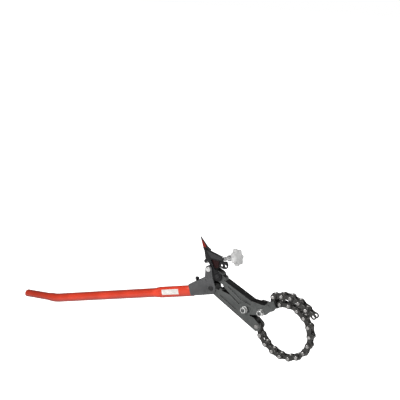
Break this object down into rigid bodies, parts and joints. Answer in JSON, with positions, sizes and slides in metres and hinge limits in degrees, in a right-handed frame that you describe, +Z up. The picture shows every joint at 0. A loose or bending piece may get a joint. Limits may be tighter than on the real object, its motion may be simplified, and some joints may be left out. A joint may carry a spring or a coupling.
{
  "type": "chain pipe cutter",
  "caption": "Hand cutter for cast-iron pipe: a chain of cutter wheels looped from one jaw to a hook on the other, drawn tight by a long bent tube handle and a short lever with a screw.",
  "frame": {"origin": "axis of the main jaw pivot bolt, midway between the two faces of the jaws", "axes": "+Z up, +X from the handle towards the chain loop, Y along every pivot axis with the nuts on the -Y side"},
  "size_m": [0.9912, 0.0459, 0.2998],
  "materials": {
    "jaw_iron": "dark blackened casting, satin",
    "lever_black": "black enamel, semi-gloss",
    "handle_red": "red-orange gloss enamel",
    "tip_red": "dark red enamel",
    "zinc": "bright zinc plate",
    "black_screw": "black oxide",
    "chain_plate": "oiled dark steel with bright edges",
    "wheel_steel": "hardened steel, bright at the cutting rim",
    "jaw_wheel_steel": "bright ground steel",
    "block_brown": "dark reddish-brown primer",
    "knob_light": "pale cast aluminium, matt",
    "screw_steel": "bright turned steel"
  },
  "bodies": {
    "hook_jaw_side": {"hook_jaw": "jaw_iron", "jaw_bolts": "zinc", "jaw_nuts": "zinc", "jaw_washers": "zinc"},
    "anchor_jaw_side": {"anchor_jaw": "jaw_iron", "chain_anchor_pin": "chain_plate"},
    "lower_handle": {"handle_casting": "jaw_iron", "handle_tube": "handle_red", "handle_lock_screw": "black_screw", "handle_link_pin": "black_screw"},
    "tightening_lever": {"upper_lever": "lever_black", "lever_red_tip": "tip_red", "lever_pivot_pins": "zinc", "screw_block": "block_brown", "screw_bracket": "lever_black"},
    "screw_swivel": {"screw_end_cap": "black_screw"},
    "adjuster": {"adjusting_screw": "screw_steel", "star_knob": "knob_light"},
    "jaw_wheel": {"jaw_cutter_wheel": "jaw_wheel_steel"},
    "chain_links_01_02": {"chain_link_01_inner": "chain_plate", "chain_link_02_outer": "chain_plate"},
    "chain_links_03_05": {"chain_link_03_inner": "chain_plate", "chain_link_04_outer": "chain_plate", "chain_link_05_inner": "chain_plate"},
    "chain_links_06_08": {"chain_link_06_outer": "chain_plate", "chain_link_07_inner": "chain_plate", "chain_link_08_outer": "chain_plate"},
    "chain_links_09_11": {"chain_link_09_inner": "chain_plate", "chain_link_10_outer": "chain_plate", "chain_link_11_inner": "chain_plate"},
    "chain_links_12_13": {"chain_link_12_outer": "chain_plate", "chain_link_13_inner": "chain_plate"},
    "chain_links_14_15": {"chain_link_14_outer": "chain_plate", "chain_link_15_inner": "chain_plate"},
    "chain_link_16": {"chain_link_16_outer": "chain_plate"},
    "chain_links_17_18": {"chain_link_17_inner": "chain_plate", "chain_link_18_outer": "chain_plate"},
    "chain_links_19_21": {"chain_link_19_inner": "chain_plate", "chain_link_20_outer": "chain_plate", "chain_link_21_inner": "chain_plate"},
    "cutter_wheel_01": {"cutter_wheel_01": "wheel_steel"},
    "cutter_wheel_02": {"cutter_wheel_02": "wheel_steel"},
    "cutter_wheel_03": {"cutter_wheel_03": "wheel_steel"},
    "cutter_wheel_04": {"cutter_wheel_04": "wheel_steel"},
    "cutter_wheel_05": {"cutter_wheel_05": "wheel_steel"},
    "cutter_wheel_06": {"cutter_wheel_06": "wheel_steel"},
    "cutter_wheel_07": {"cutter_wheel_07": "wheel_steel"},
    "cutter_wheel_08": {"cutter_wheel_08": "wheel_steel"},
    "cutter_wheel_09": {"cutter_wheel_09": "wheel_steel"},
    "cutter_wheel_10": {"cutter_wheel_10": "wheel_steel"},
    "cutter_wheel_11": {"cutter_wheel_11": "wheel_steel"},
    "cutter_wheel_12": {"cutter_wheel_12": "wheel_steel"},
    "cutter_wheel_13": {"cutter_wheel_13": "wheel_steel"},
    "cutter_wheel_14": {"cutter_wheel_14": "wheel_steel"},
    "cutter_wheel_15": {"cutter_wheel_15": "wheel_steel"},
    "cutter_wheel_16": {"cutter_wheel_16": "wheel_steel"},
    "cutter_wheel_17": {"cutter_wheel_17": "wheel_steel"},
    "cutter_wheel_18": {"cutter_wheel_18": "wheel_steel"},
    "cutter_wheel_19": {"cutter_wheel_19": "wheel_steel"},
    "cutter_wheel_20": {"cutter_wheel_20": "wheel_steel"}
  },
  "joints": [
    {"name": "lever_squeeze", "type": "hinge", "parent": "hook_jaw_side", "child": "tightening_lever", "pos_m": [-0.086, 0, 0.074], "axis": [0, -1, 0], "range_deg": [0, 30]},
    {"name": "jaw_close", "type": "hinge", "parent": "hook_jaw_side", "child": "anchor_jaw_side", "pos_m": [0, 0, 0], "axis": [0, -1, 0], "range_deg": [0, 9]},
    {"name": "handle_link", "type": "hinge", "parent": "anchor_jaw_side", "child": "lower_handle", "pos_m": [-0.104, 0, 0.038], "axis": [0, -1, 0], "range_deg": [-8, 0]},
    {"name": "screw_travel", "type": "slide", "parent": "tightening_lever", "child": "screw_swivel", "axis": [0.9617, 0, 0.274], "range_m": [-0.0015, 0.006]},
    {"name": "knob_turn", "type": "hinge", "parent": "screw_swivel", "child": "adjuster", "pos_m": [-0.09353, 0, 0.11596], "axis": [0.9617, 0, 0.274], "range_deg": [-180, 720]},
    {"name": "wheel_roll_jaw", "type": "hinge", "parent": "hook_jaw_side", "child": "jaw_wheel", "pos_m": [0.05, 0, 0.002], "axis": [0, -1, 0], "continuous": true},
    {"name": "chain_open", "type": "hinge", "parent": "anchor_jaw_side", "child": "chain_links_01_02", "pos_m": [0.037, 0, -0.0395], "axis": [0, -1, 0], "range_deg": [0, 24]},
    {"name": "chain_hinge_03", "type": "hinge", "parent": "chain_links_01_02", "child": "chain_links_03_05", "pos_m": [0.06177, 0, -0.08328], "axis": [0, -1, 0], "range_deg": [-141, 109]},
    {"name": "chain_hinge_06", "type": "hinge", "parent": "chain_links_03_05", "child": "chain_links_06_08", "pos_m": [0.13138, 0, -0.10742], "axis": [0, -1, 0], "range_deg": [-145.2, 104.8]},
    {"name": "chain_hinge_09", "type": "hinge", "parent": "chain_links_06_08", "child": "chain_links_09_11", "pos_m": [0.18728, 0, -0.06035], "axis": [0, -1, 0], "range_deg": [-145.2, 104.8]},
    {"name": "chain_hinge_12", "type": "hinge", "parent": "chain_links_09_11", "child": "chain_links_12_13", "pos_m": [0.17371, 0, 0.01145], "axis": [0, -1, 0], "range_deg": [-145.2, 104.8]},
    {"name": "chain_hinge_14", "type": "hinge", "parent": "chain_links_12_13", "child": "chain_links_14_15", "pos_m": [0.12988, 0, 0.03555], "axis": [0, -1, 0], "range_deg": [-145.2, 104.8]},
    {"name": "chain_hinge_16", "type": "hinge", "parent": "chain_links_14_15", "child": "chain_link_16", "pos_m": [0.08089, 0, 0.02549], "axis": [0, -1, 0], "range_deg": [-6.5, 243.5]},
    {"name": "chain_hinge_17", "type": "hinge", "parent": "chain_link_16", "child": "chain_links_17_18", "pos_m": [0.0839, 0, 0.05071], "axis": [0, -1, 0], "range_deg": [-56, 194]},
    {"name": "chain_hinge_19", "type": "hinge", "parent": "chain_links_17_18", "child": "chain_links_19_21", "pos_m": [0.13392, 0, 0.05747], "axis": [0, -1, 0], "range_deg": [-104, 146]},
    {"name": "wheel_roll_01", "type": "hinge", "parent": "chain_links_01_02", "child": "cutter_wheel_01", "pos_m": [0.04631, 0, -0.06313], "axis": [0, -1, 0], "continuous": true},
    {"name": "wheel_roll_02", "type": "hinge", "parent": "chain_links_01_02", "child": "cutter_wheel_02", "pos_m": [0.06177, 0, -0.08328], "axis": [0, -1, 0], "continuous": true},
    {"name": "wheel_roll_03", "type": "hinge", "parent": "chain_links_03_05", "child": "cutter_wheel_03", "pos_m": [0.08219, 0, -0.09839], "axis": [0, -1, 0], "continuous": true},
    {"name": "wheel_roll_04", "type": "hinge", "parent": "chain_links_03_05", "child": "cutter_wheel_04", "pos_m": [0.10598, 0, -0.10729], "axis": [0, -1, 0], "continuous": true},
    {"name": "wheel_roll_05", "type": "hinge", "parent": "chain_links_06_08", "child": "cutter_wheel_05", "pos_m": [0.13138, 0, -0.10742], "axis": [0, -1, 0], "continuous": true},
    {"name": "wheel_roll_06", "type": "hinge", "parent": "chain_links_06_08", "child": "cutter_wheel_06", "pos_m": [0.15526, 0, -0.09878], "axis": [0, -1, 0], "continuous": true},
    {"name": "wheel_roll_07", "type": "hinge", "parent": "chain_links_06_08", "child": "cutter_wheel_07", "pos_m": [0.17469, 0, -0.08241], "axis": [0, -1, 0], "continuous": true},
    {"name": "wheel_roll_08", "type": "hinge", "parent": "chain_links_06_08", "child": "cutter_wheel_08", "pos_m": [0.18728, 0, -0.06035], "axis": [0, -1, 0], "continuous": true},
    {"name": "wheel_roll_09", "type": "hinge", "parent": "chain_links_09_11", "child": "cutter_wheel_09", "pos_m": [0.19147, 0, -0.0353], "axis": [0, -1, 0], "continuous": true},
    {"name": "wheel_roll_10", "type": "hinge", "parent": "chain_links_09_11", "child": "cutter_wheel_10", "pos_m": [0.18675, 0, -0.01034], "axis": [0, -1, 0], "continuous": true},
    {"name": "wheel_roll_11", "type": "hinge", "parent": "chain_links_12_13", "child": "cutter_wheel_11", "pos_m": [0.17371, 0, 0.01145], "axis": [0, -1, 0], "continuous": true},
    {"name": "wheel_roll_12", "type": "hinge", "parent": "chain_links_12_13", "child": "cutter_wheel_12", "pos_m": [0.15394, 0, 0.0274], "axis": [0, -1, 0], "continuous": true},
    {"name": "wheel_roll_13", "type": "hinge", "parent": "chain_links_14_15", "child": "cutter_wheel_13", "pos_m": [0.12988, 0, 0.03555], "axis": [0, -1, 0], "continuous": true},
    {"name": "wheel_roll_14", "type": "hinge", "parent": "chain_links_14_15", "child": "cutter_wheel_14", "pos_m": [0.10449, 0, 0.03488], "axis": [0, -1, 0], "continuous": true},
    {"name": "wheel_roll_15", "type": "hinge", "parent": "chain_link_16", "child": "cutter_wheel_15", "pos_m": [0.08089, 0, 0.02549], "axis": [0, -1, 0], "continuous": true},
    {"name": "wheel_roll_16", "type": "hinge", "parent": "chain_link_16", "child": "cutter_wheel_16", "pos_m": [0.0839, 0, 0.05071], "axis": [0, -1, 0], "continuous": true},
    {"name": "wheel_roll_17", "type": "hinge", "parent": "chain_links_17_18", "child": "cutter_wheel_17", "pos_m": [0.10852, 0, 0.05694], "axis": [0, -1, 0], "continuous": true},
    {"name": "wheel_roll_18", "type": "hinge", "parent": "chain_links_17_18", "child": "cutter_wheel_18", "pos_m": [0.13392, 0, 0.05747], "axis": [0, -1, 0], "continuous": true},
    {"name": "wheel_roll_19", "type": "hinge", "parent": "chain_links_19_21", "child": "cutter_wheel_19", "pos_m": [0.15782, 0, 0.04887], "axis": [0, -1, 0], "continuous": true},
    {"name": "wheel_roll_20", "type": "hinge", "parent": "chain_links_19_21", "child": "cutter_wheel_20", "pos_m": [0.17917, 0, 0.03511], "axis": [0, -1, 0], "continuous": true}
  ],
  "couplings": [
    {"joint": "jaw_close", "follows": "lever_squeeze", "ratio": 0.2675},
    {"joint": "handle_link", "follows": "lever_squeeze", "ratio": -0.2404},
    {"joint": "knob_turn", "follows": "screw_travel", "rad_per_m": 2094.4},
    {"joint": "chain_hinge_03", "follows": "chain_open", "ratio": 0.62},
    {"joint": "chain_hinge_06", "follows": "chain_open", "ratio": -0.371},
    {"joint": "chain_hinge_09", "follows": "chain_open", "ratio": -0.288},
    {"joint": "chain_hinge_12", "follows": "chain_open", "ratio": -0.609},
    {"joint": "chain_hinge_14", "follows": "chain_open", "ratio": -0.826},
    {"joint": "chain_hinge_16", "follows": "chain_open", "ratio": 1.65},
    {"joint": "chain_hinge_17", "follows": "chain_open", "ratio": 0.75},
    {"joint": "chain_hinge_19", "follows": "chain_open", "ratio": -0.5},
    {"joint": "wheel_roll_01", "follows": "wheel_roll_jaw", "ratio": 1},
    {"joint": "wheel_roll_02", "follows": "wheel_roll_jaw", "ratio": 1},
    {"joint": "wheel_roll_03", "follows": "wheel_roll_jaw", "ratio": 1},
    {"joint": "wheel_roll_04", "follows": "wheel_roll_jaw", "ratio": 1},
    {"joint": "wheel_roll_05", "follows": "wheel_roll_jaw", "ratio": 1},
    {"joint": "wheel_roll_06", "follows": "wheel_roll_jaw", "ratio": 1},
    {"joint": "wheel_roll_07", "follows": "wheel_roll_jaw", "ratio": 1},
    {"joint": "wheel_roll_08", "follows": "wheel_roll_jaw", "ratio": 1},
    {"joint": "wheel_roll_09", "follows": "wheel_roll_jaw", "ratio": 1},
    {"joint": "wheel_roll_10", "follows": "wheel_roll_jaw", "ratio": 1},
    {"joint": "wheel_roll_11", "follows": "wheel_roll_jaw", "ratio": 1},
    {"joint": "wheel_roll_12", "follows": "wheel_roll_jaw", "ratio": 1},
    {"joint": "wheel_roll_13", "follows": "wheel_roll_jaw", "ratio": 1},
    {"joint": "wheel_roll_14", "follows": "wheel_roll_jaw", "ratio": 1},
    {"joint": "wheel_roll_15", "follows": "wheel_roll_jaw", "ratio": 1},
    {"joint": "wheel_roll_16", "follows": "wheel_roll_jaw", "ratio": 1},
    {"joint": "wheel_roll_17", "follows": "wheel_roll_jaw", "ratio": 1},
    {"joint": "wheel_roll_18", "follows": "wheel_roll_jaw", "ratio": 1},
    {"joint": "wheel_roll_19", "follows": "wheel_roll_jaw", "ratio": 1},
    {"joint": "wheel_roll_20", "follows": "wheel_roll_jaw", "ratio": 1}
  ]
}
